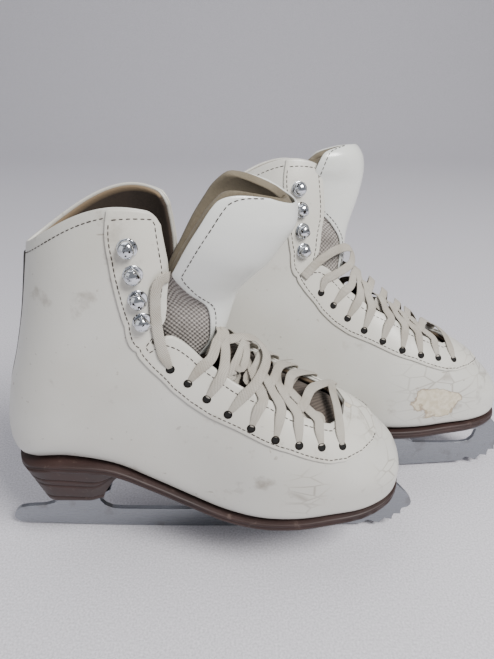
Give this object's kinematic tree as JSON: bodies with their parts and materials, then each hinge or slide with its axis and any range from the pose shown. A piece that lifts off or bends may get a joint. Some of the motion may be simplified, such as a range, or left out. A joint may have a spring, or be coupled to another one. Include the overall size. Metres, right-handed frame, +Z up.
{
  "type": "figure skates",
  "caption": "Pair of white leather figure skates: lace-up boots with padded tongues, brown heeled soles and steel blades with toe picks.",
  "frame": {"origin": "centre of the pair's overall box, at the lowest edge of the blades", "axes": "+X towards the toes, +Z up, +Y from the right skate to the left skate"},
  "size_m": [0.3966, 0.1944, 0.271],
  "materials": {
    "white_leather": "off-white smooth leather, slightly glossy, scuffed and scratched",
    "tongue_leather": "soft white glossy leather",
    "black_piping": "thin black piping",
    "stiffener": "hard fibre board",
    "brown_lining": "dark brown brushed lining",
    "tan_footbed": "tan foam footbed cover",
    "sole_rubber": "dark brown moulded sole",
    "blade_steel": "ground steel with fine scratches",
    "plate_steel": "plated steel",
    "screw_metal": "bright screw heads",
    "hook_chrome": "bright chrome lace hooks",
    "eyelet_metal": "dark eyelets",
    "grey_mesh": "woven grey-beige mesh",
    "taupe_suede": "taupe suede over foam",
    "lace_cotton": "warm grey-white flat cotton lace"
  },
  "bodies": {
    "right_skate": {"right_back_seam": "black_piping", "right_blade": "blade_steel", "right_eyelets_lateral": "eyelet_metal", "right_eyelets_medial": "eyelet_metal", "right_eyestay": "white_leather", "right_footbed": "tan_footbed", "right_heel": "sole_rubber", "right_heel_counter": "stiffener", "right_heel_plate": "plate_steel", "right_heel_screw_1": "screw_metal", "right_heel_screw_2": "screw_metal", "right_heel_screw_3": "screw_metal", "right_hooks_lateral": "hook_chrome", "right_hooks_medial": "hook_chrome", "right_insole_board": "stiffener", "right_lace": "lace_cotton", "right_lining": "brown_lining", "right_outsole": "sole_rubber", "right_toe_plate": "plate_steel", "right_toe_puff": "stiffener", "right_toe_screw_1": "screw_metal", "right_toe_screw_2": "screw_metal", "right_toe_screw_3": "screw_metal", "right_toe_screw_4": "screw_metal", "right_tongue_base": "tongue_leather", "right_upper": "white_leather"},
    "right_tongue": {"right_tongue_mesh": "grey_mesh", "right_tongue_padding": "taupe_suede", "right_tongue_shell": "tongue_leather"},
    "left_skate": {"left_back_seam": "black_piping", "left_blade": "blade_steel", "left_eyelets_lateral": "eyelet_metal", "left_eyelets_medial": "eyelet_metal", "left_eyestay": "white_leather", "left_footbed": "tan_footbed", "left_heel": "sole_rubber", "left_heel_counter": "stiffener", "left_heel_plate": "plate_steel", "left_heel_screw_1": "screw_metal", "left_heel_screw_2": "screw_metal", "left_heel_screw_3": "screw_metal", "left_hooks_lateral": "hook_chrome", "left_hooks_medial": "hook_chrome", "left_insole_board": "stiffener", "left_lace": "lace_cotton", "left_lining": "brown_lining", "left_outsole": "sole_rubber", "left_toe_plate": "plate_steel", "left_toe_puff": "stiffener", "left_toe_screw_1": "screw_metal", "left_toe_screw_2": "screw_metal", "left_toe_screw_3": "screw_metal", "left_toe_screw_4": "screw_metal", "left_tongue_base": "tongue_leather", "left_upper": "white_leather"},
    "left_tongue": {"left_tongue_mesh": "grey_mesh", "left_tongue_padding": "taupe_suede", "left_tongue_shell": "tongue_leather"}
  },
  "joints": [
    {"name": "left_skate_slide", "type": "slide", "parent": "right_skate", "child": "left_skate", "axis": [0, 1, 0], "range_m": [0, 0.3]},
    {"name": "right_tongue_hinge", "type": "hinge", "parent": "right_skate", "child": "right_tongue", "pos_m": [-0.04953, -0.0499, 0.16899], "axis": [0, 1, 0], "range_deg": [-15, 2]},
    {"name": "left_tongue_hinge", "type": "hinge", "parent": "left_skate", "child": "left_tongue", "pos_m": [0.04751, 0.048, 0.1657], "axis": [-0.0427, 0.9772, -0.2079], "range_deg": [-6, 2]}
  ]
}
